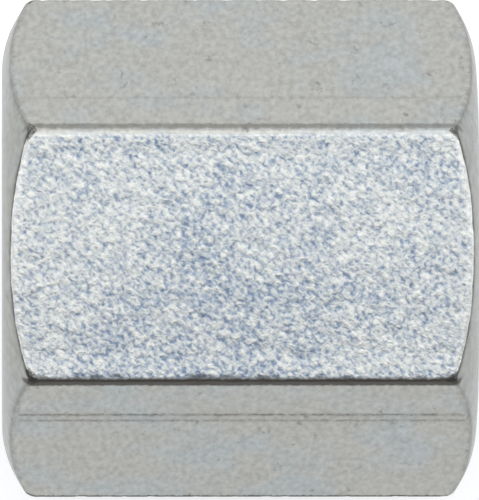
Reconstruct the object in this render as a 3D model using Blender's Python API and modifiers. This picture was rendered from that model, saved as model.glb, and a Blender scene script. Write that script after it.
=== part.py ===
"""Brake pipe nut: a female M10 x 1 nut turned from hexagonal bar.

Metres, +Z up. The nut lies on one of its six flats with its axis along X. A pipe comes in
through the plain hole at -X, and its flare is pressed onto the cone seat inside by whatever is
screwed into the thread at +X. The origin is under the nut's centre, on the surface it lies on.
"""
import math

import bmesh
import bpy

MM = 0.001

# Hexagonal bar: wide enough across flats to leave this much steel round the thread
FLAT_WALL = 1.5 * MM
NUT_LENGTH = 14.2 * MM
BAR_CORNER_RADIUS = 0.28 * MM

# Turned ends: a cone on each end, blended into the flat end face and rounded over at the corners.
# A cone's depth is measured along the axis, from the end face to where it leaves the corners.
CONE_ANGLE = math.radians(30)
THREAD_END_CONE_DEPTH = 0.71 * MM
PIPE_END_CONE_DEPTH = 0.82 * MM
FACE_BLEND_RADIUS = 2.9 * MM
CORNER_TIP_RADIUS = 0.42 * MM

# Internal thread, M10 x 1, with a plain stretch of bore between it and the seat
THREAD_DIAMETER = 10.0 * MM
THREAD_PITCH = 1.0 * MM
THREAD_RUNOUT = 1.1 * MM
MOUTH_CHAMFER = 0.1 * MM

# Pipe hole and flare seat
PIPE_DIAMETER = 4.75 * MM
PIPE_CLEARANCE = 0.25 * MM
PIPE_LAND_LENGTH = 2.7 * MM
PIPE_MOUTH_RADIUS = 0.5 * MM
SEAT_ANGLE = math.radians(45)

# ISO metric thread form: depth and flat root as shares of the pitch, and the slope of a flank
THREAD_DEPTH_SHARE = 0.54127
THREAD_ROOT_SHARE = 1 / 8
THREAD_FLANK_ANGLE = math.radians(30)

# How finely round shapes are divided
CORNER_SEGMENTS = 4
TURNED_SEGMENTS = 66
THREAD_SEGMENTS = 32
ARC_SEGMENTS = 5

# How far a cutter stands clear of what it cuts, and what counts as one point or one flat face
OVERSHOOT = 1.0 * MM
ENVELOPE_MARGIN = 0.02 * MM
TOOTH_OVERSHOOT_SHARE = 0.1
MERGE_DISTANCE = 0.01 * MM
WELD_DISTANCE = 0.0005 * MM
FLAT_ANGLE = math.radians(0.1)
SHARP_ANGLE = math.radians(20)

# Zinc plating
ZINC_COLOUR = (0.60, 0.63, 0.65, 1)
ZINC_ROUGHNESS = 0.35

# Places worked out from the sizes above: radii from the nut's axis, heights along it from its middle
QUARTER_TURN = math.radians(90)
FULL_TURN = math.radians(360)
HEX_HALF_ANGLE = math.radians(30)
ACROSS_FLATS = THREAD_DIAMETER + 2 * FLAT_WALL
AXIS_HEIGHT = ACROSS_FLATS / 2
SHARP_CORNER_RADIUS = AXIS_HEIGHT / math.cos(HEX_HALF_ANGLE)
CORNER_CROWN_RADIUS = SHARP_CORNER_RADIUS - BAR_CORNER_RADIUS * (1 / math.cos(HEX_HALF_ANGLE) - 1)
THREAD_FACE = NUT_LENGTH / 2
PIPE_FACE = -NUT_LENGTH / 2
MAJOR_RADIUS = THREAD_DIAMETER / 2
MINOR_RADIUS = MAJOR_RADIUS - THREAD_DEPTH_SHARE * THREAD_PITCH
HOLE_RADIUS = (PIPE_DIAMETER + PIPE_CLEARANCE) / 2
SEAT_FOOT = PIPE_FACE + PIPE_LAND_LENGTH
SEAT_TOP = SEAT_FOOT + (MINOR_RADIUS - HOLE_RADIUS) / math.tan(SEAT_ANGLE)
THREAD_FOOT = SEAT_TOP + THREAD_RUNOUT


def clear_scene():
    for thing in list(bpy.data.objects):
        bpy.data.objects.remove(thing, do_unlink=True)


def new_collection(name):
    collection = bpy.data.collections.new(name)
    bpy.context.scene.collection.children.link(collection)
    return collection


def zinc_plated_steel():
    material = bpy.data.materials.new("zinc_plated_steel")
    material.use_nodes = True
    shader = material.node_tree.nodes["Principled BSDF"]
    shader.inputs["Base Color"].default_value = ZINC_COLOUR
    shader.inputs["Metallic"].default_value = 1.0
    shader.inputs["Roughness"].default_value = ZINC_ROUGHNESS
    return material


def place_on_axis(name, mesh, collection):
    """Lay a mesh that was made along local Z down along X, at the height of the nut's axis."""
    thing = bpy.data.objects.new(name, mesh)
    thing.rotation_euler = (0, QUARTER_TURN, 0)
    thing.location = (0, 0, AXIS_HEIGHT)
    collection.objects.link(thing)
    return thing


def mark_as_cutter(thing):
    thing.display_type = "WIRE"
    thing.hide_render = True
    return thing


def evaluated_mesh(thing):
    bpy.context.view_layer.update()
    graph = bpy.context.evaluated_depsgraph_get()
    return bpy.data.meshes.new_from_object(thing.evaluated_get(graph))


def arc(centre, radius, start, end):
    """Points (radius from the axis, height) along an arc, both ends included."""
    points = []
    for step in range(ARC_SEGMENTS + 1):
        angle = start + (end - start) * step / ARC_SEGMENTS
        points.append((centre[0] + radius * math.cos(angle), centre[1] + radius * math.sin(angle)))
    return points


def turned_object(name, profile, segments, collection):
    """Turn a profile of (radius, height) points, listed top to bottom, round the nut's axis."""
    mesh = bpy.data.meshes.new(name)
    vertices = [(radius, 0, height) for radius, height in profile]
    edges = [(index, index + 1) for index in range(len(profile) - 1)]
    mesh.from_pydata(vertices, edges, [])
    thing = place_on_axis(name, mesh, collection)
    screw = thing.modifiers.new("turn", "SCREW")
    screw.steps = segments
    screw.render_steps = segments
    screw.use_merge_vertices = True
    screw.merge_threshold = MERGE_DISTANCE
    return thing


def hexagonal_bar(collection):
    """A piece of the bar that the nut is cut from, a little too long, with its rounded corners."""
    bar = bmesh.new()
    stock_length = NUT_LENGTH + 2 * OVERSHOOT
    bmesh.ops.create_cone(
        bar,
        cap_ends=True,
        segments=6,
        radius1=SHARP_CORNER_RADIUS,
        radius2=SHARP_CORNER_RADIUS,
        depth=stock_length,
    )
    corners = [edge for edge in bar.edges if edge.verts[0].co.z * edge.verts[1].co.z < 0]
    bmesh.ops.bevel(
        bar,
        geom=corners,
        offset=BAR_CORNER_RADIUS * math.tan(HEX_HALF_ANGLE),
        segments=CORNER_SEGMENTS,
        profile=0.5,
        affect="EDGES",
    )
    mesh = bpy.data.meshes.new("hex_nut")
    bar.to_mesh(mesh)
    bar.free()
    return place_on_axis("hex_nut", mesh, collection)


def turned_end(cone_depth):
    """Profile of the end at THREAD_FACE: its face, the blend, the cone, and the rounded corner tip.

    The cone would reach the end face at cone_foot and, without the tip's radius, end at outside.
    """
    outside = CORNER_CROWN_RADIUS + ENVELOPE_MARGIN
    cone_foot = outside - cone_depth / math.tan(CONE_ANGLE)
    cone_normal = QUARTER_TURN - CONE_ANGLE
    blend_centre_radius = cone_foot - FACE_BLEND_RADIUS * math.tan(CONE_ANGLE / 2)
    blend_centre = (blend_centre_radius, THREAD_FACE - FACE_BLEND_RADIUS)
    tip_centre_radius = outside - CORNER_TIP_RADIUS
    cone_above_tip = THREAD_FACE - (tip_centre_radius - cone_foot) * math.tan(CONE_ANGLE)
    tip_centre = (tip_centre_radius, cone_above_tip - CORNER_TIP_RADIUS / math.cos(CONE_ANGLE))
    return [
        (0, THREAD_FACE),
        *arc(blend_centre, FACE_BLEND_RADIUS, QUARTER_TURN, cone_normal),
        *arc(tip_centre, CORNER_TIP_RADIUS, cone_normal, 0),
    ]


def turned_envelope(collection):
    """What the lathe leaves: everything outside it is turned off the bar's two ends."""
    upper = turned_end(THREAD_END_CONE_DEPTH)
    lower = [(radius, -height) for radius, height in turned_end(PIPE_END_CONE_DEPTH)]
    profile = upper + lower[::-1]
    return mark_as_cutter(turned_object("turned_envelope", profile, TURNED_SEGMENTS, collection))


def bore_cutter(collection):
    """The tapping bore, the cone seat for the flare, and the hole that the pipe passes through."""
    mouth_radius = MAJOR_RADIUS + MOUTH_CHAMFER
    flared_radius = HOLE_RADIUS + PIPE_MOUTH_RADIUS
    mouth_centre = (flared_radius, PIPE_FACE + PIPE_MOUTH_RADIUS)
    profile = [
        (0, THREAD_FACE + OVERSHOOT),
        (mouth_radius + OVERSHOOT, THREAD_FACE + OVERSHOOT),
        (MINOR_RADIUS, THREAD_FACE - (mouth_radius - MINOR_RADIUS)),
        (MINOR_RADIUS, SEAT_TOP),
        (HOLE_RADIUS, SEAT_FOOT),
        *arc(mouth_centre, PIPE_MOUTH_RADIUS, 2 * QUARTER_TURN, 3 * QUARTER_TURN),
        (flared_radius, PIPE_FACE - OVERSHOOT),
        (0, PIPE_FACE - OVERSHOOT),
    ]
    return mark_as_cutter(turned_object("bore_cutter", profile, THREAD_SEGMENTS, collection))


def thread_tooth():
    """The tap's tooth as (radius, height) points. Its inner edge stands free inside the bore."""
    inner_radius = MINOR_RADIUS - THREAD_PITCH * TOOTH_OVERSHOOT_SHARE
    root_half = THREAD_PITCH * THREAD_ROOT_SHARE / 2
    inner_half = root_half + (MAJOR_RADIUS - inner_radius) * math.tan(THREAD_FLANK_ANGLE)
    return [
        (inner_radius, THREAD_FOOT - inner_half),
        (MAJOR_RADIUS, THREAD_FOOT - root_half),
        (MAJOR_RADIUS, THREAD_FOOT + root_half),
        (inner_radius, THREAD_FOOT + inner_half),
    ]


def cap_open_ends(mesh):
    shell = bmesh.new()
    shell.from_mesh(mesh)
    open_edges = [edge for edge in shell.edges if edge.is_boundary]
    bmesh.ops.holes_fill(shell, edges=open_edges, sides=4)
    bmesh.ops.recalc_face_normals(shell, faces=shell.faces)
    shell.to_mesh(mesh)
    shell.free()


def thread_cutter(collection):
    """One long right-handed helical cut, as a tap makes it, from THREAD_FOOT to past the mouth.

    It starts half a step round from the bore cutter's first edge, so that no two edges coincide.
    """
    turns = math.ceil((THREAD_FACE - THREAD_FOOT) / THREAD_PITCH) + 1
    half_step = FULL_TURN / THREAD_SEGMENTS / 2
    mesh = bpy.data.meshes.new("thread_tooth")
    corners = [
        (radius * math.cos(half_step), radius * math.sin(half_step), height)
        for radius, height in thread_tooth()
    ]
    mesh.from_pydata(corners, [(0, 1), (1, 2), (2, 3), (3, 0)], [])
    tooth = place_on_axis("thread_tooth", mesh, collection)
    screw = tooth.modifiers.new("helix", "SCREW")
    screw.angle = FULL_TURN * turns
    screw.screw_offset = THREAD_PITCH * turns
    screw.steps = THREAD_SEGMENTS * turns
    screw.render_steps = screw.steps
    coil = evaluated_mesh(tooth)
    bpy.data.objects.remove(tooth, do_unlink=True)
    cap_open_ends(coil)
    return mark_as_cutter(place_on_axis("thread_cutter", coil, collection))


def add_boolean(thing, operation, cutter):
    boolean = thing.modifiers.new(cutter.name, "BOOLEAN")
    boolean.operation = operation
    boolean.solver = "EXACT"
    boolean.object = cutter


def tidy_cut_mesh(mesh):
    """Weld the points that the cuts left on top of each other, and make flat areas one face again."""
    shell = bmesh.new()
    shell.from_mesh(mesh)
    bmesh.ops.remove_doubles(shell, verts=shell.verts, dist=WELD_DISTANCE)
    bmesh.ops.dissolve_limit(shell, angle_limit=FLAT_ANGLE, verts=shell.verts, edges=shell.edges)
    shell.to_mesh(mesh)
    shell.free()


def hex_nut(parts, cutters):
    """Cut the bar as the lathe, the drill and the tap do, then keep the result as a plain mesh."""
    nut = hexagonal_bar(parts)
    add_boolean(nut, "INTERSECT", turned_envelope(cutters))
    add_boolean(nut, "DIFFERENCE", bore_cutter(cutters))
    add_boolean(nut, "DIFFERENCE", thread_cutter(cutters))
    machined = evaluated_mesh(nut)
    tidy_cut_mesh(machined)
    nut.modifiers.clear()
    nut.data = machined
    machined.materials.clear()
    machined.materials.append(zinc_plated_steel())
    machined.shade_smooth()
    machined.set_sharp_from_angle(angle=SHARP_ANGLE)


def main():
    clear_scene()
    parts = new_collection("brake_pipe_nut")
    cutters = new_collection("cutters")
    hex_nut(parts, cutters)


main()
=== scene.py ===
"""Brake pipe nut: the visual model, its floor, its light and the camera of the photograph.

Metres, +Z up. The nut lies on a flat with its axis along X and its threaded end at +X. One piece
stands for the CAD solid: the same form with finer rounds, a tapped thread, drawing lines along its
flats, a pitted upper flat, and a zinc finish that follows its edges.
"""

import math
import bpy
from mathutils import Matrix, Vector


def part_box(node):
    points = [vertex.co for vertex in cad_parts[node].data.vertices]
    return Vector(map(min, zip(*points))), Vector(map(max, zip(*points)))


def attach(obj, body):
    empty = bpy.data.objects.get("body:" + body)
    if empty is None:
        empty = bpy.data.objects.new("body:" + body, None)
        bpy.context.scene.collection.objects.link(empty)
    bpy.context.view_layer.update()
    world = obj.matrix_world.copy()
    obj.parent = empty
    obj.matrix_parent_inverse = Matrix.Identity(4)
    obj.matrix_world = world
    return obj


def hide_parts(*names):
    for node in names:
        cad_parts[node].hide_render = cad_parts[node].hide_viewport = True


bl_info = {
    "name": "Brake pipe nut",
    "version": (1, 0, 0),
    "blender": (4, 5, 0),
    "location": "3D View > Sidebar > Brake Nut",
    "description": "Makes a zinc-plated brake pipe nut and the plain studio that it is shown in",
    "category": "Add Mesh",
}

import bmesh
import bpy
import numpy as np
from mathutils import Matrix, Vector

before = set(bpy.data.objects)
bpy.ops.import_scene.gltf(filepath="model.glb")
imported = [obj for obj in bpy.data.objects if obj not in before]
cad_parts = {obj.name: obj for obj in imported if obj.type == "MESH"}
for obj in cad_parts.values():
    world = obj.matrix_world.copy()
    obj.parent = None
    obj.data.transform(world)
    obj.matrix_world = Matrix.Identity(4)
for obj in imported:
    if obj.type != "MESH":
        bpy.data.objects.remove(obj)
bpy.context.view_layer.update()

MM = 0.001
NODE = "hex_nut"

# The CAD solid's own box gives the bar's size, and how much its corners are rounded
CAD_LOW, CAD_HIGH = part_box(NODE)
NUT_LENGTH = CAD_HIGH.x - CAD_LOW.x
ACROSS_FLATS = CAD_HIGH.z - CAD_LOW.z
CROWN_RADIUS = CAD_HIGH.y

QUARTER_TURN = math.radians(90)
FULL_TURN = math.radians(360)
HEX_HALF_ANGLE = math.radians(30)
HEX_ANGLE = math.radians(60)

# Flats are counted anticlockwise as seen from the threaded end, and the second one lies uppermost
FLAT_COUNT = 6
UPPER_FLAT = 1
VIEW_FLANKS = (0, 2)

# How finely the blank, the thread and the floor are meshed
COLUMNS_ON_UPPER_FLAT = 92
COLUMNS_ON_FLANK = 66
COLUMNS_ON_LOWER_FLAT = 34
COLUMNS_ON_CORNER = 6
ROWS_ALONG_FLAT = 150
ROWS_ON_CONE = 8
ROWS_ON_EDGE = 4
ROWS_ON_FACE = 2
ARC_SEGMENTS = 8
THREAD_SEGMENTS = 96
FLOOR_SEGMENTS = 96

# How rows crowd towards the outer edge of a cone, and how deep an edge's round is for its length
CONE_CROWDING = 1.2
EDGE_ROUND_DROP = 0.8

# Metric thread: depth and flat root as shares of the pitch, and how far the cut starts inside the bore
THREAD_DEPTH_SHARE = 0.54127
THREAD_ROOT_SHARE = 1 / 8
TOOTH_OVERSHOOT_SHARE = 0.1

# The wander of the turned edges: waves round the nut and their shares, and where the waves start
WOBBLE_WAVES = ((23, 0.35), (41, 0.3), (67, 0.2), (113, 0.15))
WAVE_PHASE = 1.7
END_PHASE = 2.3

# Wear: how far from a corner pits fade in, how far below the upper flat a point still counts as on
# it, how far inside the sharp corner nicks start, and where they show in their noise
WEAR_SEED = 4
PIT_EASE = 0.6 * MM
UPPER_SKIN = 0.01 * MM
NICK_REACH = 0.08 * MM
NICK_RANGE = (0.52, 0.72)

# How deep below the flats the outside ends, how many half flats along Y the flanks beside the upper
# flat are marked for, and a length that keeps a distance above zero
OUTSIDE_DEPTH = 0.3 * MM
BESIDE_SHARE = 1.2
TINY = 0.001 * MM

# Where rows crowd towards an edge, as distances from it
EDGE_ROWS = (0.03 * MM, 0.07 * MM, 0.12 * MM, 0.19 * MM)

# Drawing lines: the flat, the distance from its middle, and the share of the deepest line's depth
DRAWING_LINES = (
    (0, 2.01 * MM, 0.35),
    (2, -1.63 * MM, 1.0),
    (2, -1.27 * MM, 0.7),
    (4, 1.10 * MM, 0.7),
    (5, -2.20 * MM, 0.5),
)

# Round each line: where columns stand, its half width, how far its grime reaches, and how far from
# an edge it starts
LINE_COLUMNS = (-0.11 * MM, -0.06 * MM, -0.03 * MM, 0.0, 0.03 * MM, 0.06 * MM, 0.11 * MM)
LINE_HALF_WIDTH = 0.08 * MM
LINE_MARK_WIDTH = 0.13 * MM
LINE_START = 0.12 * MM

# The upper flat falls away a little before its back corner
SHOULDER_WIDTH = 0.1 * MM
SHOULDER_RADIUS = 2.0 * MM

# Grime and painted shade lie to the flanks' side of the upper flat's back and front corners, and at
# their tips to the flat's side
GRIME_AND_SHADE_LEAN = 0.125 * MM
FRONT_LEAN = 0.09 * MM
TIP_LEAN = 0.06 * MM

# Grime and painted shade wander less along the corners than round the turned edges
CORNER_WANDER = 0.5

# How much nearer the crystals come to the front corner than to the back one, in mm
FRONT_REACH = 0.1

# How much further grime and painted shade reach on each side of the front corner than of the back
# one, in mm; the front corner, away from the key softbox, gets more painted shade
FRONT_SHADE_WIDTH = 0.06

# Edges that turn by more than this are shaded sharp
SHARP_ANGLE = math.radians(24)

# Real sizes of what the plating and the tools leave
CRYSTAL_SIZE = 0.13 * MM
CRYSTAL_SPACING = 0.26 * MM
SEAM_SPACING = 0.36 * MM
CRYSTAL_TURN = math.radians(-42)
CRYSTAL_STRETCH = 1.2
CRYSTAL_DEPTH = 0.05 * MM
FILM_CENTRE = (0.0, -2.4 * MM, ACROSS_FLATS)
SPECK_SIZE = 0.4 * MM
CLOUD_SIZE = 1.5 * MM
PATCH_SIZE = 2.2 * MM
GRAIN_SIZE = 0.16 * MM
GRAIN_STRETCH = 1.8
PIT_SPACING = 0.5 * MM
RAGGED_SIZE = 0.14 * MM
TIP_SPECK_SIZE = 0.06 * MM
TOOL_FEED = 0.09 * MM
TOOL_MARK_DEPTH = 0.01 * MM

# Satin plate is rougher than the crystals, and where grime and painted shade lie it adds to either
SATIN_ROUGHNESS = 0.34
SPANGLE_ROUGHNESS = 0.22
TURNED_ROUGHNESS = 0.34
GRIME_AND_SHADE_ROUGHNESS = 0.25

# How much of its depth each bump shows
SATIN_BUMP = 0.04
CRYSTAL_BUMP = 0.13
TURNED_BUMP = 0.5

# The passivation shows more on the flats than on the turned ends
FLATS_BLUISH = 0.55
ENDS_BLUISH = 0.25

# The floor's white is part glow and part light that falls on it, so the shadow stays
GLOW_SHARE = 0.6
SHADOW_SHARE = 0.66
FLOOR_RADIUS = 3.0
FLOOR_CLEARANCE = 0.001 * MM
SENSOR_WIDTH = 36.0
CLIP_SHARE = 100

# Sine of the angle up to which the room's walls are paler
HORIZON_HEIGHT = 0.22

# The middle of a noise
NOISE_MIDDLE = 0.5

# A span that is turned into another is written as where it starts and ends, and then what its start
# and its end become, or only the first two where they become 0 and 1

# Crystals: how each blob and each seam raises or lowers them, and the film's colours by height,
# which are partly painted glints on the crystal tops and painted shade in the pits
BLOBS = (0.5, 0.1, -0.06, 0.16)
SEAMS = (0.0, 0.035, -0.09, 0.02)
THINNING = (1.0 * MM, 6.0 * MM, -0.045, 0.014)
CLOUD_SHARE = 0.22
SPECK_SHARE = 0.22
DEEP_STOP = 0.4
BLUE_STOP = 0.53
PALE_STOP = 0.7
BRIGHT_STOP = 0.91

# Satin: where blue patches show in their noise, how grain lightens it, and how dark its pits are
PATCH_RANGE = (0.46, 0.64)
GRAIN_LIGHTNESS = (0.3, 0.7, 0.85, 1.14)
DARK_PITS = (0.62, 0.74, 0.0, 0.55)

# Half the band along Y in which what lies in front turns into what lies at the back
MIDDLE_BAND = 1.0 * MM

# How noise makes grime and painted shade wander, in mm, and breaks it up on the drawing lines and in the
# corner tips
GRIME_AND_SHADE_WANDER = (0.3, 0.7, -0.09, 0.09)
BROKEN_LINES = (0.36, 0.64, 0.1, 0.75)
TIP_SPECKLE = (0.3, 0.62, 0.45, 0.95)

# Where grime and painted shade, crystals with their painted glints and rims with their painted
# highlight lie, in mm from an edge or a corner, as the mesh's attributes are. Corners' shares and
# tips' slopes are given for the front and then for the back; the front's are darker as painted shade.
EDGE_GRIME_AND_SHADE_SHIFT = 0.02
EDGE_GRIME_AND_SHADE = (0.18, 0.02, 0.0, 0.3)
CORNER_GRIME_AND_SHADE_REACH = (0.16, 0.07)
CORNER_GRIME_AND_SHADE_SHARES = (0.92, 0.5)
TIP_SHIFT = 0.05
TIP_SLOPES = (1.4, 2.6)
TIP_REACH = (0.45, 0.33)
CLEANER_TIPS = 0.2
CLEAN_INSIDE = (-0.5, -0.3)
CRYSTAL_REACH = (0.24, 0.31)
# Rims: at the ends rubbed zinc with a painted highlight, at the back corner a painted highlight
END_RIM_AND_HIGHLIGHT = (0.24, 0.1, 0.0, 0.8)
BACK_RIM_HIGHLIGHT = (0.38, 0.31, 0.0, 0.3)

# How far below the upper flat its own finish goes
UPPER_FINISH_DEPTH = 0.1 * MM

# Node kinds that are used often
MATH = "ShaderNodeMath"
RANGE = "ShaderNodeMapRange"
NOISE = "ShaderNodeTexNoise"
MIX = "ShaderNodeMix"
VECTOR_MATH = "ShaderNodeVectorMath"
SEPARATE = "ShaderNodeSeparateXYZ"
COMBINE = "ShaderNodeCombineXYZ"
ATTRIBUTE = "ShaderNodeAttribute"

# Which kind of input a value gets
SOCKET_KINDS = {
    float: "NodeSocketFloat",
    int: "NodeSocketInt",
    bpy.types.Material: "NodeSocketMaterial",
}


def length_field(name, description, default):
    return bpy.props.FloatProperty(
        name=name, description=description, default=default, precision=6, unit="LENGTH"
    )


def angle_field(name, description, degrees):
    return bpy.props.FloatProperty(
        name=name, description=description, default=math.radians(degrees), subtype="ANGLE"
    )


def power_field(name, description, default):
    return bpy.props.FloatProperty(
        name=name, description=description, default=default, precision=3, unit="POWER"
    )


def colour_field(name, description, default):
    return bpy.props.StringProperty(
        name=name, description=description + ", as an sRGB hex colour", default=default
    )


class NutSizes(bpy.types.PropertyGroup):
    cone_angle: angle_field("Cone angle", "Slope of the turned ends", 30)
    thread_end_cone: length_field("Thread end cone", "Depth of the cone at the threaded end", 0.72 * MM)
    pipe_end_cone: length_field("Pipe end cone", "Depth of the cone at the pipe end", 0.78 * MM)
    face_blend: length_field("Face blend", "Radius between an end face and its cone", 3.1 * MM)
    tip_radius: length_field("Tip radius", "Radius where a cone meets the six corners", 0.42 * MM)
    envelope_margin: length_field(
        "Envelope margin", "How far the turned form stands clear of the corners", 0.02 * MM
    )
    thread_diameter: length_field("Thread diameter", "Major diameter", 10.0 * MM)
    thread_pitch: length_field("Thread pitch", "Lead of one turn", 1.0 * MM)
    thread_runout: length_field("Thread runout", "Plain bore between the thread and the seat", 1.1 * MM)
    mouth_chamfer: length_field("Mouth chamfer", "How far the mouth opens past the thread", 0.1 * MM)
    hole_diameter: length_field("Hole diameter", "Hole for the pipe", 5.0 * MM)
    pipe_land: length_field("Pipe land", "Length of the pipe's hole", 2.7 * MM)
    mouth_radius: length_field("Pipe mouth radius", "Round at the mouth of the pipe's hole", 0.5 * MM)
    back_corner_radius: length_field(
        "Back corner radius", "Round of the corner behind the upper flat", 0.34 * MM
    )
    front_corner_radius: length_field(
        "Front corner radius", "Round of the corner in front of the upper flat", 0.12 * MM
    )
    edge_round: length_field(
        "Edge round", "How far the edge between a flat and a cone is rounded", 0.11 * MM
    )
    line_depth: length_field("Drawing line depth", "Depth of the deepest drawing line", 0.014 * MM)
    pit_depth: length_field("Pit depth", "Depth of the pits in the upper flat", 0.016 * MM)
    pit_size: length_field("Pit size", "Width of a pit", 0.42 * MM)
    nick_depth: length_field("Nick depth", "Depth of the nicks along the six corners", 0.03 * MM)
    nick_size: length_field("Nick size", "Length of a nick", 0.5 * MM)
    edge_wander: length_field(
        "Edge wander", "How far the edge between a flat and a cone wanders", 0.02 * MM
    )


class NutFinish(bpy.types.PropertyGroup):
    zinc: colour_field("Zinc", "Satin zinc of the flats", "#a8a8a2")
    turned_zinc: colour_field("Turned zinc", "Satin zinc of the turned ends", "#9b9c97")
    blue_zinc: colour_field("Blue zinc", "Faint patches of passivation", "#a2abae")
    # Painted glint: the crystal tops are painted near white where the lights glint on them, partly as
    # bright zinc
    bright_zinc_and_glint: colour_field("Bright zinc", "Tops of the crystals", "#d0d1cb")
    # Rubbed zinc with a painted highlight: the upper flat's rims at both ends are rubbed zinc and painted
    # highlight, and its rim along the back corner is painted highlight
    rim_zinc_and_highlight: colour_field("Rim zinc", "Rubbed rim of the upper flat", "#dcddd8")
    pale_zinc: colour_field("Pale zinc", "Zinc between the crystals", "#b9bdbc")
    blue_film: colour_field("Blue film", "Passivation between the crystals", "#949fab")
    # Painted shade: the pits are painted dark blue, partly as pooled passivation
    deep_film_and_shade: colour_field("Deep film", "Passivation pooled in the pits", "#6c7c93")
    # Grime and painted shade: along the turned edges, the corners and their tips this dark colour stands
    # partly for shade and dark reflections; in the drawing lines and pits it is grime
    grime_and_shade: colour_field("Grime", "Grime along the edges", "#58544d")
    floor: colour_field("Floor", "White paper", "#e7e7e7")


class StageSettings(bpy.types.PropertyGroup):
    side_power: power_field("Side power", "Power of each side softbox", 0.06)
    side_size: length_field("Side size", "Width of each side softbox", 0.11)
    side_lean: angle_field("Side lean", "How far the side softboxes lean from overhead", 34)
    overhead_power: power_field("Overhead power", "Power of the softbox overhead", 0.092)
    overhead_size: length_field("Overhead size", "Width of the softbox overhead", 0.15)
    overhead_lean: angle_field("Overhead lean", "How far the overhead softbox leans to the back", 14)
    key_power: power_field("Key power", "Power of the key softbox", 0.3)
    key_size: length_field("Key size", "Width of the key softbox", 0.28)
    key_lean: angle_field("Key lean", "How far the key softbox leans from overhead", 52)
    softbox_distance: length_field("Softbox distance", "From the nut to each softbox", 0.22)
    horizon: colour_field("Horizon", "Foot of the room's walls", "#e6e7e9")
    surround: colour_field("Surround", "Colour of the room", "#868b96")
    camera_distance: length_field("Camera distance", "From the nut to the lens", 0.5)
    view_height: length_field("View height", "Height of the picture at the nut's axis", 15.01 * MM)
    camera_yaw: angle_field("Camera yaw", "Lean towards the pipe end", 0.82)
    camera_pitch: angle_field("Camera pitch", "Lean towards the back", 1.62)
    aim_right: length_field("Aim right", "How far the picture's middle lies right of the nut's", 0.03 * MM)
    aim_up: length_field("Aim up", "How far the picture's middle lies above the nut's", -0.045 * MM)


def linear(hex_colour):
    """An sRGB hex colour as the linear values that a shader takes."""
    channels = [int(hex_colour[start:start + 2], 16) / 255 for start in (1, 3, 5)]
    return tuple(c / 12.92 if c <= 0.04045 else ((c + 0.055) / 1.055) ** 2.4 for c in channels)


def opaque(hex_colour):
    return (*linear(hex_colour), 1.0)


def add_node(tree, kind, sockets=None, **settings):
    """Add one node. sockets maps an input's name or number to its value, or to what it is linked from.

    That is another node's output, or another node, which stands for its first output.
    """
    made = tree.nodes.new(kind)
    for name, value in settings.items():
        setattr(made, name, value)
    for key, value in (sockets or {}).items():
        if isinstance(value, bpy.types.Node):
            value = value.outputs[0]
        if isinstance(value, bpy.types.NodeSocket):
            tree.links.new(value, made.inputs[key])
        else:
            made.inputs[key].default_value = value
    return made


def spread(value, low, high, out_low=0.0, out_high=1.0):
    """Sockets that turn the span of a value from low to high into one from out_low to out_high."""
    return {"Value": value, "From Min": low, "From Max": high, "To Min": out_low, "To Max": out_high}


def add_piece(name, mesh):
    piece = bpy.data.objects.new(name, mesh)
    bpy.context.scene.collection.objects.link(piece)
    return piece


def evaluated_mesh(piece):
    bpy.context.view_layer.update()
    graph = bpy.context.evaluated_depsgraph_get()
    return bpy.data.meshes.new_from_object(piece.evaluated_get(graph))


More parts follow.
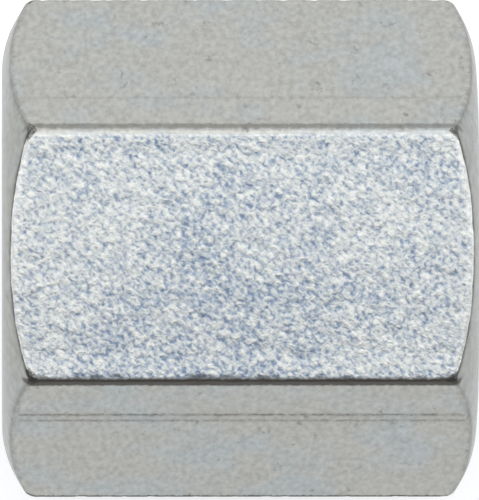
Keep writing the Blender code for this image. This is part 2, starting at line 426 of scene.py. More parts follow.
class NutForm:
    """The nut's section and turned ends, worked out from its sizes. Radii are from the nut's axis."""

    def __init__(self, sizes):
        self.axis_height = ACROSS_FLATS / 2
        self.sharp_radius = self.axis_height / math.cos(HEX_HALF_ANGLE)
        side_radius = (self.sharp_radius - CROWN_RADIUS) / (1 / math.cos(HEX_HALF_ANGLE) - 1)
        self.corner_radii = np.full(FLAT_COUNT, side_radius)
        self.corner_radii[UPPER_FLAT] = sizes.back_corner_radius
        self.corner_radii[UPPER_FLAT + 1] = sizes.front_corner_radius
        self.side_half = self.axis_height * math.tan(HEX_HALF_ANGLE)
        self.edge_round = sizes.edge_round
        self.face = NUT_LENGTH / 2
        self.major = sizes.thread_diameter / 2
        self.minor = self.major - THREAD_DEPTH_SHARE * sizes.thread_pitch
        self.hole = sizes.hole_diameter / 2
        self.seat_foot = -self.face + sizes.pipe_land
        self.seat_top = self.seat_foot + self.minor - self.hole
        self.thread_foot = self.seat_top + sizes.thread_runout
        self.mouth = self.major + sizes.mouth_chamfer
        self.outside = CROWN_RADIUS + sizes.envelope_margin
        self.slope = sizes.cone_angle
        self.blend = sizes.face_blend
        self.tip = sizes.tip_radius
        self.cone_depths = (sizes.pipe_end_cone, sizes.thread_end_cone)
        self.pipe_mouth_radius = sizes.mouth_radius
        self.pipe_mouth = self.hole + self.pipe_mouth_radius

    def cone_foot(self, end):
        return self.outside - self.cone_depths[end] / math.tan(self.slope)

    def face_rim(self, end):
        """Radius at which the flat end face turns into the blend."""
        return self.cone_foot(end) - self.blend * math.tan(self.slope / 2)

    def turned_x(self, radius, end):
        """Distance from the nut's middle to a turned end at a radius. Ends: 0 for the pipe, 1 threaded."""
        rim = self.face_rim(end)
        cone_foot = self.cone_foot(end)
        tip_centre = self.outside - self.tip
        cone_at_tip = self.face - (tip_centre - cone_foot) * math.tan(self.slope)
        tip_height = cone_at_tip - self.tip / math.cos(self.slope)
        blend_end = rim + self.blend * math.sin(self.slope)
        tip_start = tip_centre + self.tip * math.sin(self.slope)
        blend_height = self.face - self.blend
        on_blend = blend_height + np.sqrt(np.maximum(self.blend**2 - (radius - rim) ** 2, 0))
        on_cone = self.face - (radius - cone_foot) * math.tan(self.slope)
        on_tip = tip_height + np.sqrt(np.maximum(self.tip**2 - (radius - tip_centre) ** 2, 0))
        height = np.where(radius <= rim, self.face, on_blend)
        height = np.where(radius > blend_end, on_cone, height)
        return np.where(radius > tip_start, on_tip, height)

    def section(self, y, z):
        """Of points round the axis: flat, distance out from the axis and along the flat, hexagon radius."""
        turned = np.mod(np.arctan2(z, y), FULL_TURN)
        flat = np.floor(turned / HEX_ANGLE).astype(int) % FLAT_COUNT
        offset = turned - (flat + 0.5) * HEX_ANGLE
        radius = np.hypot(y, z)
        out = radius * np.cos(offset)
        along = radius * np.sin(offset)
        on_flat = self.axis_height / np.cos(offset)
        rounding = self.corner_radii[(flat + (along > 0)) % FLAT_COUNT]
        centre = (self.axis_height - rounding) / math.cos(HEX_HALF_ANGLE)
        lean = HEX_HALF_ANGLE - np.abs(offset)
        half_chord = np.sqrt(np.maximum(rounding**2 - (centre * np.sin(lean)) ** 2, 0))
        on_corner = centre * np.cos(lean) + half_chord
        hexagon = np.where(np.abs(on_flat * np.sin(offset)) > self.flat_reach(rounding), on_corner, on_flat)
        return flat, out, along, hexagon

    def flat_reach(self, rounding):
        """How far a flat reaches from its middle to where a corner's round begins."""
        return self.side_half - rounding * math.tan(HEX_HALF_ANGLE)

    def corner_gap(self, flat, out, along):
        """Distance round the section from the middle of the nearest corner."""
        rounding = self.corner_radii[(flat + (along > 0)) % FLAT_COUNT]
        reach = self.flat_reach(rounding)
        lean = np.arctan2(np.abs(along) - reach, np.maximum(out - self.axis_height + rounding, TINY))
        on_corner = rounding * (HEX_HALF_ANGLE - lean)
        on_flat = reach - np.abs(along) + rounding * HEX_HALF_ANGLE
        return np.where(np.abs(along) > reach, on_corner, on_flat)


def flat_columns(form, flat):
    """Places along one flat, closer together round each drawing line."""
    count = COLUMNS_ON_LOWER_FLAT
    if flat == UPPER_FLAT:
        count = COLUMNS_ON_UPPER_FLAT
    if flat in VIEW_FLANKS:
        count = COLUMNS_ON_FLANK
    lines = [middle for on_flat, middle, _ in DRAWING_LINES if on_flat == flat]
    close = [middle + shift for middle in lines for shift in LINE_COLUMNS]
    first = -form.flat_reach(form.corner_radii[flat])
    last = form.flat_reach(form.corner_radii[(flat + 1) % FLAT_COUNT])
    clear = LINE_COLUMNS[-1] + form.side_half / count
    even = [place for place in np.linspace(first, last, count + 1)
            if all(abs(place - middle) > clear for middle in lines)]
    return sorted(close + even)


def line_depth(flat, place, depth):
    """How deep the drawing lines are at a place on a flat."""
    total = 0.0
    for on_flat, middle, share in DRAWING_LINES:
        if on_flat == flat:
            total += share * depth * max(0.0, 1 - abs(place - middle) / LINE_HALF_WIDTH)
    return total


def shoulder_drop(form, flat, place):
    """How far the upper flat falls away just before its back corner, where polishing has softened it."""
    if flat != UPPER_FLAT:
        return 0.0
    inside = max(0.0, -place - form.flat_reach(form.corner_radii[UPPER_FLAT]) + SHOULDER_WIDTH)
    return inside**2 / (2 * SHOULDER_RADIUS)


def section_columns(form, depth):
    """The bar's section as points (y, z from the axis), anticlockwise, starting after the corner at +Y."""
    points = []
    for flat in range(FLAT_COUNT):
        rounding = form.corner_radii[(flat + 1) % FLAT_COUNT]
        centre_radius = (form.axis_height - rounding) / math.cos(HEX_HALF_ANGLE)
        normal = (flat + 0.5) * HEX_ANGLE
        for place in flat_columns(form, flat):
            out = form.axis_height - line_depth(flat, place, depth) - shoulder_drop(form, flat, place)
            points.append((
                out * math.cos(normal) - place * math.sin(normal),
                out * math.sin(normal) + place * math.cos(normal),
            ))
        corner = (flat + 1) * HEX_ANGLE
        for step in range(1, COLUMNS_ON_CORNER):
            lean = normal + HEX_ANGLE * step / COLUMNS_ON_CORNER
            points.append((
                centre_radius * math.cos(corner) + rounding * math.cos(lean),
                centre_radius * math.sin(corner) + rounding * math.sin(lean),
            ))
    return np.array(points)


def edge_wobble(angles, end, amount):
    """A fixed sum of waves round the nut, for the way in which a turned edge wanders."""
    wobble = np.zeros_like(angles)
    for waves, share in WOBBLE_WAVES:
        wobble += share * np.sin(waves * angles + WAVE_PHASE * waves + END_PHASE * end)
    return amount * wobble


def flat_rows(form):
    """Places along the nut as shares of the flat's length, closer together at both its ends."""
    close = [distance / form.face for distance in EDGE_ROWS]
    inner = np.linspace(close[-1], 1 - close[-1], ROWS_ALONG_FLAT + 1)
    return [0.0, *close[:-1], *inner, *[1 - share for share in close[-2::-1]], 1.0]


def blank_rings(form, sizes):
    """Rings of points as (x, (y, z) from the axis): outside, thread end, bore and pipe end in turn."""
    section = section_columns(form, sizes.line_depth)
    hexagon = np.hypot(section[:, 0], section[:, 1])
    angles = np.arctan2(section[:, 1], section[:, 0])
    direction = section / hexagon[:, None]
    edges = [form.turned_x(hexagon, end) + edge_wobble(angles, end, sizes.edge_wander) for end in (0, 1)]
    rings = []
    for share in flat_rows(form):
        low = -edges[0] + form.edge_round
        high = edges[1] - form.edge_round
        rings.append((low * (1 - share) + high * share, section))
    for end in (1, 0):
        sign = 1 if end else -1
        face = []
        rim = form.face_rim(end)
        below = hexagon - form.edge_round * EDGE_ROUND_DROP
        cone = form.turned_x(below, end)
        for step in range(1, ROWS_ON_EDGE + 1):
            share = step / ROWS_ON_EDGE
            before = (1 - share) ** 2
            middle = 2 * share * (1 - share)
            after = share**2
            x = before * (edges[end] - form.edge_round) + middle * edges[end] + after * cone
            radius = (before + middle) * hexagon + after * below
            face.append((sign * x, direction * radius[:, None]))
        for step in range(1, ROWS_ON_CONE + 1):
            share = (step / ROWS_ON_CONE) ** CONE_CROWDING
            radius = below + (rim - below) * share
            face.append((sign * form.turned_x(radius, end), direction * radius[:, None]))
        inner = form.mouth if end else form.pipe_mouth
        for step in range(1, ROWS_ON_FACE + 1):
            radius = rim + (inner - rim) * step / ROWS_ON_FACE
            face.append((np.full_like(hexagon, sign * form.face), direction * radius))
        rings += face if end else face[::-1]
        if end:
            rings += bore_rings(form, direction)
    return rings


def bore_rings(form, direction):
    """Rings from inside the threaded mouth to inside the pipe's mouth."""
    profile = [
        (form.minor, form.face - (form.mouth - form.minor)),
        (form.minor, form.seat_top),
        (form.hole, form.seat_foot),
    ]
    for step in range(ARC_SEGMENTS):
        lean = QUARTER_TURN * step / ARC_SEGMENTS
        radius = form.pipe_mouth - form.pipe_mouth_radius * math.cos(lean)
        profile.append((radius, -form.face + form.pipe_mouth_radius * (1 - math.sin(lean))))
    return [(np.full(len(direction), height), direction * radius) for radius, height in profile]


def blank_mesh(form, sizes):
    """The nut before it is tapped: one closed skin of rings, over the flats, both ends and the bore."""
    rings = blank_rings(form, sizes)
    points = np.array([
        np.column_stack((x, around[:, 0], around[:, 1] + form.axis_height)) for x, around in rings
    ])
    corner = np.arange(points.shape[0] * points.shape[1]).reshape(points.shape[:2])
    beside = np.roll(corner, -1, axis=1)
    after = np.roll(corner, -1, axis=0)
    faces = np.dstack((corner, beside, np.roll(beside, -1, axis=0), after)).reshape(-1, 4)
    mesh = bpy.data.meshes.new(NODE)
    mesh.from_pydata(points.reshape(-1, 3).tolist(), [], faces.tolist())
    shell = bmesh.new()
    shell.from_mesh(mesh)
    bmesh.ops.recalc_face_normals(shell, faces=shell.faces)
    shell.to_mesh(mesh)
    shell.free()
    return mesh


def machining_tree(values):
    """Geometry Nodes that tap the blank with a helical cut, pit its upper flat and nick its corners.

    Its inputs are named for the values that it will be given.
    """
    tree = bpy.data.node_groups.new("nut_machining", "GeometryNodeTree")
    sockets = tree.interface
    sockets.new_socket("Geometry", in_out="INPUT", socket_type="NodeSocketGeometry")
    for name, value in values.items():
        sockets.new_socket(name, in_out="INPUT", socket_type=SOCKET_KINDS[type(value)])
    sockets.new_socket("Geometry", in_out="OUTPUT", socket_type="NodeSocketGeometry")
    given = add_node(tree, "NodeGroupInput").outputs

    height = add_node(tree, MATH, {
        0: given["Thread Turns"], 1: given["Thread Pitch"],
    }, operation="MULTIPLY")
    helix = add_node(tree, "GeometryNodeCurveSpiral", {
        "Resolution": given["Steps"], "Rotations": given["Thread Turns"],
        "Start Radius": given["Mean Radius"], "End Radius": given["Mean Radius"], "Height": height,
        "Reverse": True,
    })
    upright = add_node(tree, "GeometryNodeSetCurveNormal", {"Curve": helix}, mode="Z_UP")
    tooth = add_node(tree, "GeometryNodeCurvePrimitiveQuadrilateral", {
        "Height": given["Tooth Height"], "Bottom Width": given["Tooth Base"],
        "Top Width": given["Tooth Root"], "Offset": 0.0,
    }, mode="TRAPEZOID")
    turned = add_node(tree, "GeometryNodeTransform", {
        "Geometry": tooth, "Rotation": (0.0, 0.0, -QUARTER_TURN),
    })
    coil = add_node(tree, "GeometryNodeCurveToMesh", {
        "Curve": upright, "Profile Curve": turned, "Fill Caps": True,
    })
    place = add_node(tree, COMBINE, {"X": given["Thread Foot"], "Z": given["Axis Height"]})
    tap = add_node(tree, "GeometryNodeTransform", {
        "Geometry": coil, "Translation": place, "Rotation": (0.0, QUARTER_TURN, 0.0),
    })
    cut = add_node(tree, "GeometryNodeMeshBoolean", {
        "Mesh 1": given["Geometry"], "Mesh 2": tap,
    }, operation="DIFFERENCE", solver="EXACT")

    position = add_node(tree, "GeometryNodeInputPosition")
    normal = add_node(tree, "GeometryNodeInputNormal")
    parts = add_node(tree, SEPARATE, {0: position})
    from_middle = add_node(tree, MATH, {0: parts.outputs["Y"]}, operation="ABSOLUTE")
    inside_flat = add_node(tree, MATH, {0: given["Flat Half"], 1: from_middle}, operation="SUBTRACT")
    edge_ease = add_node(tree, RANGE, spread(inside_flat, 0.0, PIT_EASE))
    on_top = add_node(tree, MATH, {
        0: parts.outputs["Z"], 1: given["Upper Height"],
    }, operation="GREATER_THAN")
    pit_mask = add_node(tree, MATH, {0: edge_ease, 1: on_top}, operation="MULTIPLY")
    pit_scale = add_node(tree, MATH, {0: 1.0, 1: given["Pit Size"]}, operation="DIVIDE")
    pits = add_node(tree, NOISE, {
        "Vector": position, "W": given["Seed"], "Scale": pit_scale, "Detail": 1.0, "Roughness": 0.6,
        "Distortion": 0.4,
    }, noise_dimensions="4D")
    pit_sink = add_node(tree, MATH, {0: pits, 1: given["Pit Depth"]}, operation="MULTIPLY")
    pit_move = add_node(tree, MATH, {0: pit_sink, 1: pit_mask}, operation="MULTIPLY")

    from_axis = add_node(tree, MATH, {0: parts.outputs["Z"], 1: given["Axis Height"]}, operation="SUBTRACT")
    across = add_node(tree, COMBINE, {"Y": parts.outputs["Y"], "Z": from_axis})
    radius = add_node(tree, VECTOR_MATH, {0: across}, operation="LENGTH")
    on_corner = add_node(tree, RANGE, spread(
        radius.outputs["Value"], given["Corner Start"], given["Corner Crown"],
    ))
    nick_scale = add_node(tree, MATH, {0: 1.0, 1: given["Nick Size"]}, operation="DIVIDE")
    nick_noise = add_node(tree, NOISE, {
        "Vector": position, "W": given["Seed"], "Scale": nick_scale, "Detail": 2.0, "Roughness": 0.6,
    }, noise_dimensions="4D")
    nicks = add_node(tree, RANGE, spread(nick_noise, *NICK_RANGE))
    nick_sink = add_node(tree, MATH, {0: nicks, 1: given["Nick Depth"]}, operation="MULTIPLY")
    nick_move = add_node(tree, MATH, {0: nick_sink, 1: on_corner}, operation="MULTIPLY")
    sink = add_node(tree, MATH, {0: pit_move, 1: nick_move}, operation="ADD")
    inward = add_node(tree, MATH, {0: sink, 1: -1.0}, operation="MULTIPLY")
    shift = add_node(tree, VECTOR_MATH, {0: normal, "Scale": inward}, operation="SCALE")
    worn = add_node(tree, "GeometryNodeSetPosition", {"Geometry": cut, "Offset": shift})
    real = add_node(tree, "GeometryNodeRealizeInstances", {0: worn})
    finished = add_node(tree, "GeometryNodeSetMaterial", {"Geometry": real, "Material": given["Material"]})
    add_node(tree, "NodeGroupOutput", {0: finished})
    return tree


def machine(piece, form, sizes, material):
    """Run the machining tree on the blank and keep its result as a plain mesh."""
    inner = form.minor - TOOTH_OVERSHOOT_SHARE * sizes.thread_pitch
    root = THREAD_ROOT_SHARE * sizes.thread_pitch
    values = {
        "Axis Height": form.axis_height,
        "Thread Foot": form.thread_foot,
        "Thread Pitch": sizes.thread_pitch,
        "Thread Turns": float(math.ceil((form.face - form.thread_foot) / sizes.thread_pitch) + 1),
        "Mean Radius": (form.major + inner) / 2,
        "Tooth Height": form.major - inner,
        "Tooth Root": root,
        "Tooth Base": root + 2 * (form.major - inner) * math.tan(HEX_HALF_ANGLE),
        "Upper Height": ACROSS_FLATS - UPPER_SKIN,
        "Flat Half": form.flat_reach(sizes.back_corner_radius),
        "Corner Start": form.sharp_radius - NICK_REACH,
        "Corner Crown": CROWN_RADIUS,
        "Pit Depth": sizes.pit_depth,
        "Pit Size": sizes.pit_size,
        "Nick Depth": sizes.nick_depth,
        "Nick Size": sizes.nick_size,
        "Steps": THREAD_SEGMENTS,
        "Seed": WEAR_SEED,
        "Material": material,
    }
    tree = machining_tree(values)
    modifier = piece.modifiers.new("machining", "NODES")
    modifier.node_group = tree
    for item in tree.interface.items_tree:
        if item.in_out == "INPUT" and item.name in values:
            modifier[item.identifier] = values[item.name]
    mesh = evaluated_mesh(piece)
    piece.modifiers.remove(modifier)
    piece.data = mesh
    return mesh


def store(mesh, name, values):
    made = mesh.attributes.new(name, "FLOAT", "POINT")
    made.data.foreach_set("value", values.astype(np.float32))


def mark_edges(mesh, form):
    """Store what the finish follows: distances in mm from a turned edge and a corner, and drawing lines."""
    points = np.empty(len(mesh.vertices) * 3)
    mesh.vertices.foreach_get("co", points)
    points = points.reshape(-1, 3)
    y = points[:, 1]
    z = points[:, 2] - form.axis_height
    radius = np.hypot(y, z)
    flat, out, along, hexagon = form.section(y, z)
    edge = np.where(points[:, 0] > 0, form.turned_x(hexagon, 1), form.turned_x(hexagon, 0))
    before = edge - np.abs(points[:, 0])
    past = -np.hypot(np.maximum(hexagon - radius, 0), before)
    on_outside = (before >= 0) & (radius > form.axis_height - OUTSIDE_DEPTH)
    store(mesh, "edge_gap", np.where(on_outside, before, past) / MM)
    beside_upper = np.isin(flat, VIEW_FLANKS) & (np.abs(y) < form.side_half * BESIDE_SHARE) & (z > 0)
    lean = np.where(flat == UPPER_FLAT, 1.0, np.where(beside_upper, -1.0, 0.0))
    corner_gap = form.corner_gap(flat, out, along)
    # Corners are measured leaning to where their grime and painted shade lie
    grime_and_shade_lean = np.where(y < 0, FRONT_LEAN, GRIME_AND_SHADE_LEAN)
    store(mesh, "corner_gap", np.abs(corner_gap + grime_and_shade_lean * lean) / MM)
    store(mesh, "tip_gap", np.abs(corner_gap - TIP_LEAN * lean) / MM)
    mark = np.zeros(len(points))
    started = np.clip((before - LINE_START) / LINE_START, 0, 1)
    for on_flat, middle, share in DRAWING_LINES:
        on_line = share * started * np.maximum(1 - np.abs(along - middle) / LINE_MARK_WIDTH, 0)
        mark = np.where((flat == on_flat) & on_outside, np.maximum(mark, on_line), mark)
    store(mesh, "line_mark", mark)


def shade(mesh):
    mesh.shade_smooth()
    mesh.set_sharp_from_angle(angle=SHARP_ANGLE)


def metal(name):
    """A new material of a metal, with its node tree and its shader."""
    material = bpy.data.materials.new(name)
    material.use_nodes = True
    shader = material.node_tree.nodes["Principled BSDF"]
    shader.inputs["Metallic"].default_value = 1.0
    return material, material.node_tree, shader


def edge_marks(tree):
    """What mark_edges stored: distances from a turned edge and from a corner, and drawing lines."""
    return [
        add_node(tree, ATTRIBUTE, attribute_name=name).outputs["Fac"]
        for name in ("edge_gap", "corner_gap", "line_mark")
    ]


def front_to_back(tree, parts, front, back):
    """A value that changes along Y in a band round the nut's middle."""
    return add_node(tree, RANGE, spread(parts.outputs["Y"], -MIDDLE_BAND, MIDDLE_BAND, front, back))


def crystal_height(tree, place):
    """Rounded crystals, standing a little askew across the flat, with thin seams winding between them."""
    leaning = add_node(tree, "ShaderNodeMapping", {
        "Vector": place, "Rotation": (0.0, 0.0, CRYSTAL_TURN), "Scale": (CRYSTAL_STRETCH, 1.0, 1.0),
    }, vector_type="TEXTURE")
    lumps = add_node(tree, NOISE, {
        "Vector": leaning, "Scale": 1 / CRYSTAL_SIZE, "Detail": 1.5, "Roughness": 0.5, "Distortion": 0.35,
    })
    crystals = add_node(tree, "ShaderNodeTexVoronoi", {"Vector": leaning, "Scale": 1 / CRYSTAL_SPACING})
    blobs = add_node(tree, RANGE, spread(crystals.outputs["Distance"], *BLOBS))
    seams = add_node(tree, NOISE, {
        "Vector": place, "Scale": 1 / SEAM_SPACING, "Detail": 1.5, "Distortion": 0.6,
    })
    from_seam = add_node(tree, MATH, {0: seams, 1: NOISE_MIDDLE}, operation="SUBTRACT")
    seam_gap = add_node(tree, MATH, {0: from_seam}, operation="ABSOLUTE")
    seam = add_node(tree, RANGE, spread(seam_gap, *SEAMS))
    raised = add_node(tree, MATH, {0: lumps, 1: blobs}, operation="ADD")
    return add_node(tree, MATH, {0: raised, 1: seam}, operation="ADD")


def spangle_and_glint_colour(tree, place, height, finish):
    """Colour of the upper flat: white crystals on pale zinc, with the blue film pooled between them; the
    white tops are partly painted glints and the dark pits partly painted shade.
    """
    clouds = add_node(tree, NOISE, {"Vector": place, "Scale": 1 / CLOUD_SIZE, "Detail": 2.0})
    specks = add_node(tree, NOISE, {
        "Vector": place, "Scale": 1 / SPECK_SIZE, "Detail": 1.0, "Roughness": 0.5,
    })
    from_middle = add_node(tree, VECTOR_MATH, {0: place, 1: FILM_CENTRE}, operation="DISTANCE")
    thinning = add_node(tree, RANGE, spread(from_middle.outputs["Value"], *THINNING))
    pooled = add_node(tree, MATH, {0: clouds, 1: CLOUD_SHARE, 2: height}, operation="MULTIPLY_ADD")
    flecked = add_node(tree, MATH, {0: specks, 1: SPECK_SHARE, 2: pooled}, operation="MULTIPLY_ADD")
    level = add_node(tree, MATH, {0: flecked, 1: thinning}, operation="ADD")
    ramp = add_node(tree, "ShaderNodeValToRGB", {0: level})
    stops = ramp.color_ramp.elements
    stops[0].position = DEEP_STOP
    stops[0].color = opaque(finish.deep_film_and_shade)
    stops[1].position = BRIGHT_STOP
    stops[1].color = opaque(finish.bright_zinc_and_glint)
    for position, colour in ((BLUE_STOP, finish.blue_film), (PALE_STOP, finish.pale_zinc)):
        stop = stops.new(position)
        stop.color = opaque(colour)
    return ramp


def satin_colour(tree, place, zinc, bluish, finish):
    """Satin zinc with fine grain, faint bluish patches and a few dark pits."""
    round_bar = add_node(tree, "ShaderNodeMapping", {
        "Vector": place, "Scale": (1.0, GRAIN_STRETCH, GRAIN_STRETCH),
    }, vector_type="TEXTURE")
    patches = add_node(tree, NOISE, {
        "Vector": place, "Scale": 1 / PATCH_SIZE, "Detail": 4.0, "Roughness": 0.6,
    })
    blue = add_node(tree, RANGE, spread(patches, *PATCH_RANGE, 0.0, bluish))
    tinted = add_node(tree, MIX, {0: blue, 6: opaque(zinc), 7: opaque(finish.blue_zinc)}, data_type="RGBA")
    grain = add_node(tree, NOISE, {"Vector": round_bar, "Scale": 1 / GRAIN_SIZE, "Detail": 3.0})
    lightness = add_node(tree, RANGE, spread(grain, *GRAIN_LIGHTNESS))
    grained = add_node(tree, VECTOR_MATH, {0: tinted.outputs[2], "Scale": lightness}, operation="SCALE")
    pits = add_node(tree, NOISE, {
        "Vector": round_bar, "Scale": 1 / PIT_SPACING, "Detail": 3.0, "Roughness": 0.75,
    })
    pitted = add_node(tree, RANGE, spread(pits, *DARK_PITS))
    return add_node(tree, MIX, {
        0: pitted, 6: grained, 7: opaque(finish.grime_and_shade),
    }, data_type="RGBA").outputs[2]


def grime_and_shade_amount(tree, place, edge_gap, corner_gap, line_mark):
    """Where grime and painted shade lie: painted shade with some grime along the turned edges, the corners
    and in the tips, and grime along the drawing lines.
    """
    parts = add_node(tree, SEPARATE, {0: place})
    ragged = add_node(tree, NOISE, {
        "Vector": place, "Scale": 1 / RAGGED_SIZE, "Detail": 3.0, "Roughness": 0.6,
    })
    wander = add_node(tree, RANGE, spread(ragged, *GRIME_AND_SHADE_WANDER))
    edge_middle = add_node(tree, MATH, {0: edge_gap, 1: EDGE_GRIME_AND_SHADE_SHIFT}, operation="ADD")
    edge_off = add_node(tree, MATH, {0: edge_middle}, operation="ABSOLUTE")
    edge_near = add_node(tree, MATH, {0: edge_off, 1: wander}, operation="ADD")
    along_edge = add_node(tree, RANGE, spread(edge_near, *EDGE_GRIME_AND_SHADE))
    # The front corner, away from the key softbox, gets wider and darker painted shade than the back one
    wider = front_to_back(tree, parts, FRONT_SHADE_WIDTH, 0.0)
    corner_off = add_node(tree, MATH, {0: corner_gap, 1: wider}, operation="SUBTRACT")
    corner_near = add_node(tree, MATH, {
        0: wander, 1: CORNER_WANDER, 2: corner_off,
    }, operation="MULTIPLY_ADD")
    corner_share = front_to_back(tree, parts, *CORNER_GRIME_AND_SHADE_SHARES)
    along_corner = add_node(tree, RANGE, spread(corner_near, *CORNER_GRIME_AND_SHADE_REACH, 0.0, corner_share))
    broken = add_node(tree, RANGE, spread(ragged, *BROKEN_LINES))
    along_line = add_node(tree, MATH, {0: line_mark, 1: broken}, operation="MULTIPLY")
    tip_edge = add_node(tree, MATH, {0: edge_gap, 1: TIP_SHIFT}, operation="SUBTRACT")
    tip_off = add_node(tree, MATH, {0: tip_edge}, operation="ABSOLUTE")
    tip_gap = add_node(tree, ATTRIBUTE, attribute_name="tip_gap").outputs["Fac"]
    tip_near = add_node(tree, MATH, {0: tip_gap, 1: wander}, operation="ADD")
    tip_slope = front_to_back(tree, parts, *TIP_SLOPES)
    tip_reach = add_node(tree, MATH, {0: tip_off, 1: tip_slope, 2: tip_near}, operation="MULTIPLY_ADD")
    cleaner = add_node(tree, RANGE, spread(
        parts.outputs["X"], -NUT_LENGTH / 2, NUT_LENGTH / 2, 0.0, CLEANER_TIPS,
    ))
    tip_cleaned = add_node(tree, MATH, {0: tip_reach, 1: cleaner}, operation="ADD")
    at_tip = add_node(tree, RANGE, spread(tip_cleaned, *TIP_REACH))
    specks = add_node(tree, NOISE, {"Vector": place, "Scale": 1 / TIP_SPECK_SIZE, "Detail": 1.0})
    speckle = add_node(tree, RANGE, spread(specks, *TIP_SPECKLE))
    tip_speckled = add_node(tree, MATH, {0: at_tip, 1: speckle}, operation="MULTIPLY")
    most = along_edge
    for other in (along_corner, along_line, tip_speckled):
        most = add_node(tree, MATH, {0: most, 1: other}, operation="MAXIMUM")
    outside = add_node(tree, RANGE, spread(edge_gap, *CLEAN_INSIDE))
    return add_node(tree, MATH, {0: most, 1: outside}, operation="MULTIPLY")


def drawn_zinc(finish):
    """Bright zinc plate with a blue passivation, on steel drawn to a hexagon.

    To the eye it is a satin grey metal with faint blue patches. On the upper flat, coarse crystals
    sparkle white between pits where the blue film has pooled; their white tops are partly painted
    glints and their dark pits partly painted shade. Grime and painted shade lie along its edges, and
    the upper flat's rims carry a painted highlight.
    """
    material, tree, shader = metal("zinc_plated_drawn_steel")
    place = add_node(tree, "ShaderNodeTexCoord").outputs["Object"]
    parts = add_node(tree, SEPARATE, {0: place})
    edge_gap, corner_gap, line_mark = edge_marks(tree)
    near_top = add_node(tree, MATH, {
        0: parts.outputs["Z"], 1: ACROSS_FLATS - UPPER_FINISH_DEPTH,
    }, operation="GREATER_THAN")
    reach = front_to_back(tree, parts, FRONT_REACH, 0.0)
    reached = add_node(tree, MATH, {0: corner_gap, 1: reach}, operation="ADD")
    clear_of_corner = add_node(tree, RANGE, spread(reached, *CRYSTAL_REACH))
    # Only the upper flat, which faces the lights, gets the crystals' colours with their painted glints and
    # shade
    upper = add_node(tree, MATH, {0: near_top, 1: clear_of_corner}, operation="MULTIPLY")
    height = crystal_height(tree, place)
    spangled_and_glinting = spangle_and_glint_colour(tree, place, height, finish)
    satin = satin_colour(tree, place, finish.zinc, FLATS_BLUISH, finish)
    # Rims of the upper flat: rubbed zinc with a painted highlight at both ends, and a painted highlight
    # along the back corner, on the side of the key softbox
    by_end = add_node(tree, RANGE, spread(edge_gap, *END_RIM_AND_HIGHLIGHT))
    highlight_by_corner = add_node(tree, RANGE, spread(corner_gap, *BACK_RIM_HIGHLIGHT))
    behind = add_node(tree, RANGE, spread(parts.outputs["Y"], 0.0, MIDDLE_BAND))
    highlight_by_back = add_node(tree, MATH, {0: highlight_by_corner, 1: behind}, operation="MULTIPLY")
    rim = add_node(tree, MATH, {0: by_end, 1: highlight_by_back}, operation="MAXIMUM")
    rimmed_and_highlit = add_node(tree, MIX, {0: rim, 6: spangled_and_glinting, 7: opaque(finish.rim_zinc_and_highlight)}, data_type="RGBA")
    plate = add_node(tree, MIX, {0: upper, 6: satin, 7: rimmed_and_highlit.outputs[2]}, data_type="RGBA")
    # Grime and painted shade darken the plate along its edges, corners and tips, and grime its drawing
    # lines
    grime_and_shade = grime_and_shade_amount(tree, place, edge_gap, corner_gap, line_mark)
    grimed_and_shaded = add_node(tree, MIX, {
        0: grime_and_shade, 6: plate.outputs[2], 7: opaque(finish.grime_and_shade),
    }, data_type="RGBA")
    tree.links.new(grimed_and_shaded.outputs[2], shader.inputs["Base Color"])
    base_roughness = add_node(tree, RANGE, spread(upper, 0.0, 1.0, SATIN_ROUGHNESS, SPANGLE_ROUGHNESS))
    roughness = add_node(tree, MATH, {
        0: grime_and_shade, 1: GRIME_AND_SHADE_ROUGHNESS, 2: base_roughness,
    }, operation="MULTIPLY_ADD")
    tree.links.new(roughness.outputs[0], shader.inputs["Roughness"])
    relief = add_node(tree, RANGE, spread(upper, 0.0, 1.0, SATIN_BUMP, CRYSTAL_BUMP))
    bump = add_node(tree, "ShaderNodeBump", {
        "Strength": relief, "Distance": CRYSTAL_DEPTH, "Height": height,
    })
    tree.links.new(bump.outputs[0], shader.inputs["Normal"])
    return material


def turned_zinc(finish):
    """The same zinc plate on turned steel: grey and even, with fine rings from the lathe tool."""
    material, tree, shader = metal("zinc_plated_turned_steel")
    place = add_node(tree, "ShaderNodeTexCoord").outputs["Object"]
    parts = add_node(tree, SEPARATE, {0: place})
    height = add_node(tree, MATH, {0: parts.outputs["Z"], 1: ACROSS_FLATS / 2}, operation="SUBTRACT")
    across = add_node(tree, COMBINE, {"Y": parts.outputs["Y"], "Z": height})
    radius = add_node(tree, VECTOR_MATH, {0: across}, operation="LENGTH")
    marks = edge_marks(tree)
    satin = satin_colour(tree, place, finish.turned_zinc, ENDS_BLUISH, finish)
    # Grime and painted shade darken the turned ends along their edges, corners and tips
    grime_and_shade = grime_and_shade_amount(tree, place, *marks)
    grimed_and_shaded = add_node(tree, MIX, {0: grime_and_shade, 6: satin, 7: opaque(finish.grime_and_shade)}, data_type="RGBA")
    tree.links.new(grimed_and_shaded.outputs[2], shader.inputs["Base Color"])
    shader.inputs["Roughness"].default_value = TURNED_ROUGHNESS
    rings = add_node(tree, NOISE, {
        "W": radius.outputs["Value"], "Scale": 1 / TOOL_FEED, "Detail": 2.0, "Roughness": 0.6,
    }, noise_dimensions="1D")
    bump = add_node(tree, "ShaderNodeBump", {
        "Strength": TURNED_BUMP, "Distance": TOOL_MARK_DEPTH, "Height": rings,
    })
    tree.links.new(bump.outputs[0], shader.inputs["Normal"])
    return material


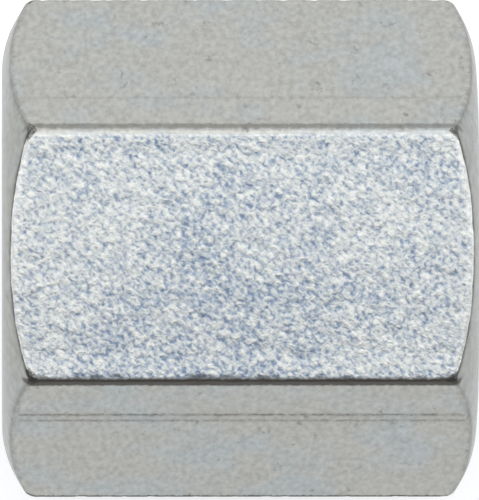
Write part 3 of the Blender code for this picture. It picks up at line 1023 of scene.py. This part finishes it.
def floor_paper(finish):
    """Matt white paper. The camera, metal and glass see it as white, less the nut's shadow."""
    material = bpy.data.materials.new("white_matt_paper")
    material.use_nodes = True
    tree = material.node_tree
    tree.nodes.remove(tree.nodes["Principled BSDF"])
    path = add_node(tree, "ShaderNodeLightPath")
    seen = path.outputs["Is Camera Ray"]
    for ray in ("Is Glossy Ray", "Is Transmission Ray"):
        seen = add_node(tree, MATH, {0: seen, 1: path.outputs[ray]}, operation="MAXIMUM")
    plain = add_node(tree, "ShaderNodeBsdfDiffuse", {"Color": opaque(finish.floor)})
    lit = add_node(tree, "ShaderNodeBsdfDiffuse", {
        "Color": (SHADOW_SHARE, SHADOW_SHARE, SHADOW_SHARE, 1.0),
    })
    glow = add_node(tree, "ShaderNodeEmission", {"Strength": GLOW_SHARE})
    white = add_node(tree, "ShaderNodeAddShader", {0: lit, 1: glow})
    surface = add_node(tree, "ShaderNodeMixShader", {0: seen, 1: plain, 2: white})
    tree.links.new(surface.outputs[0], tree.nodes["Material Output"].inputs["Surface"])
    return material


def make_nut(sizes, finish):
    form = NutForm(sizes)
    piece = add_piece("brake_pipe_nut", blank_mesh(form, sizes))
    drawn = drawn_zinc(finish)
    turned = turned_zinc(finish)
    mesh = machine(piece, form, sizes, drawn)
    mesh.name = "brake_pipe_nut"
    mark_edges(mesh, form)
    assign_finishes(mesh, drawn, turned)
    shade(mesh)
    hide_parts(NODE)
    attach(piece, "root")
    return piece


def assign_finishes(mesh, drawn, turned):
    """The flats keep the drawn finish, and the ends and the bore get the turned one."""
    mesh.materials.clear()
    mesh.materials.append(drawn)
    mesh.materials.append(turned)
    gaps = np.empty(len(mesh.vertices))
    mesh.attributes["edge_gap"].data.foreach_get("value", gaps)
    for face in mesh.polygons:
        middle = sum(gaps[corner] for corner in face.vertices) / len(face.vertices)
        face.material_index = 0 if middle > 0 else 1


def make_floor(finish):
    mesh = bpy.data.meshes.new("floor")
    sheet = bmesh.new()
    bmesh.ops.create_circle(sheet, cap_ends=True, segments=FLOOR_SEGMENTS, radius=FLOOR_RADIUS)
    sheet.to_mesh(mesh)
    sheet.free()
    floor = add_piece("floor", mesh)
    floor.location.z = -FLOOR_CLEARANCE
    mesh.materials.append(floor_paper(finish))


def add_softbox(name, lean, turn, size, power, distance):
    """A square softbox that faces the nut, leaning from overhead. The camera doesn't see it."""
    lamp = bpy.data.lights.new(name, "AREA")
    lamp.shape = "SQUARE"
    lamp.size = size
    lamp.energy = power
    box = bpy.data.objects.new(name, lamp)
    bpy.context.scene.collection.objects.link(box)
    away = Vector((
        math.sin(lean) * math.cos(turn),
        math.sin(lean) * math.sin(turn),
        math.cos(lean),
    ))
    box.location = away * distance
    box.rotation_euler = away.to_track_quat("Z", "Y").to_euler()
    box.visible_camera = False


def set_world(stage):
    world = bpy.data.worlds.new("studio")
    world.use_nodes = True
    bpy.context.scene.world = world
    tree = world.node_tree
    background = tree.nodes["Background"]
    direction = add_node(tree, "ShaderNodeTexCoord").outputs["Generated"]
    parts = add_node(tree, SEPARATE, {0: direction})
    above = add_node(tree, RANGE, spread(parts.outputs["Z"], 0.0, HORIZON_HEIGHT))
    wall = add_node(tree, MIX, {
        0: above, 6: opaque(stage.horizon), 7: opaque(stage.surround),
    }, data_type="RGBA")
    tree.links.new(wall.outputs[2], background.inputs["Color"])
    background.inputs["Strength"].default_value = 1.0


def add_camera(stage):
    """The photograph's camera: nearly overhead, far off, with a long lens."""
    data = bpy.data.cameras.new("camera")
    data.sensor_width = SENSOR_WIDTH
    data.lens = SENSOR_WIDTH * stage.camera_distance / stage.view_height
    data.clip_start = stage.camera_distance / CLIP_SHARE
    data.clip_end = stage.camera_distance * CLIP_SHARE
    yaw = stage.camera_yaw
    pitch = stage.camera_pitch
    right = Vector((math.cos(yaw), 0, math.sin(yaw)))
    up = Vector((math.sin(yaw) * math.sin(pitch), math.cos(pitch), -math.cos(yaw) * math.sin(pitch)))
    back = right.cross(up)
    aim = Vector((0, 0, ACROSS_FLATS / 2)) + right * stage.aim_right + up * stage.aim_up
    camera = bpy.data.objects.new("camera", data)
    camera.matrix_world = Matrix.Translation(aim + back * stage.camera_distance) @ Matrix(
        (right, up, back)
    ).transposed().to_4x4()
    bpy.context.scene.collection.objects.link(camera)
    bpy.context.scene.camera = camera


def set_stage(stage, finish):
    make_floor(finish)
    set_world(stage)
    for name, kind, turn in (
        ("softbox_left", "side", 2 * QUARTER_TURN),
        ("softbox_right", "side", 0.0),
        ("softbox_overhead", "overhead", QUARTER_TURN),
        ("softbox_key", "key", QUARTER_TURN),
    ):
        lean, size, power = [getattr(stage, kind + part) for part in ("_lean", "_size", "_power")]
        add_softbox(name, lean, turn, size, power, stage.softbox_distance)
    add_camera(stage)
    bpy.context.scene.view_settings.view_transform = "Standard"


class BRAKE_NUT_OT_nut(bpy.types.Operator):
    """Make the nut: turn, tap, plate and wear it"""

    bl_idname = "brake_nut.nut"
    bl_label = "Brake pipe nut"

    def execute(self, context):
        make_nut(context.scene.nut_sizes, context.scene.nut_finish)
        return {"FINISHED"}


class BRAKE_NUT_OT_stage(bpy.types.Operator):
    """Lay the floor, hang the lights and set up the camera"""

    bl_idname = "brake_nut.stage"
    bl_label = "Studio"

    def execute(self, context):
        set_stage(context.scene.nut_stage, context.scene.nut_finish)
        return {"FINISHED"}


class BRAKE_NUT_PT_panel(bpy.types.Panel):
    bl_label = "Brake pipe nut"
    bl_idname = "BRAKE_NUT_PT_panel"
    bl_space_type = "VIEW_3D"
    bl_region_type = "UI"
    bl_category = "Brake Nut"

    def draw(self, context):
        for operator in OPERATORS:
            self.layout.operator(operator.bl_idname)
        for group in (context.scene.nut_sizes, context.scene.nut_finish, context.scene.nut_stage):
            for name in group.bl_rna.properties.keys():
                if name not in ("rna_type", "name"):
                    self.layout.prop(group, name)


OPERATORS = (BRAKE_NUT_OT_nut, BRAKE_NUT_OT_stage)
CLASSES = (NutSizes, NutFinish, StageSettings, *OPERATORS, BRAKE_NUT_PT_panel)


def register():
    for item in CLASSES:
        bpy.utils.register_class(item)
    bpy.types.Scene.nut_sizes = bpy.props.PointerProperty(type=NutSizes)
    bpy.types.Scene.nut_finish = bpy.props.PointerProperty(type=NutFinish)
    bpy.types.Scene.nut_stage = bpy.props.PointerProperty(type=StageSettings)


def unregister():
    del bpy.types.Scene.nut_stage
    del bpy.types.Scene.nut_finish
    del bpy.types.Scene.nut_sizes
    for item in reversed(CLASSES):
        bpy.utils.unregister_class(item)


def main():
    register()
    bpy.ops.brake_nut.nut()
    bpy.ops.brake_nut.stage()


if __name__ == "__main__":
    main()
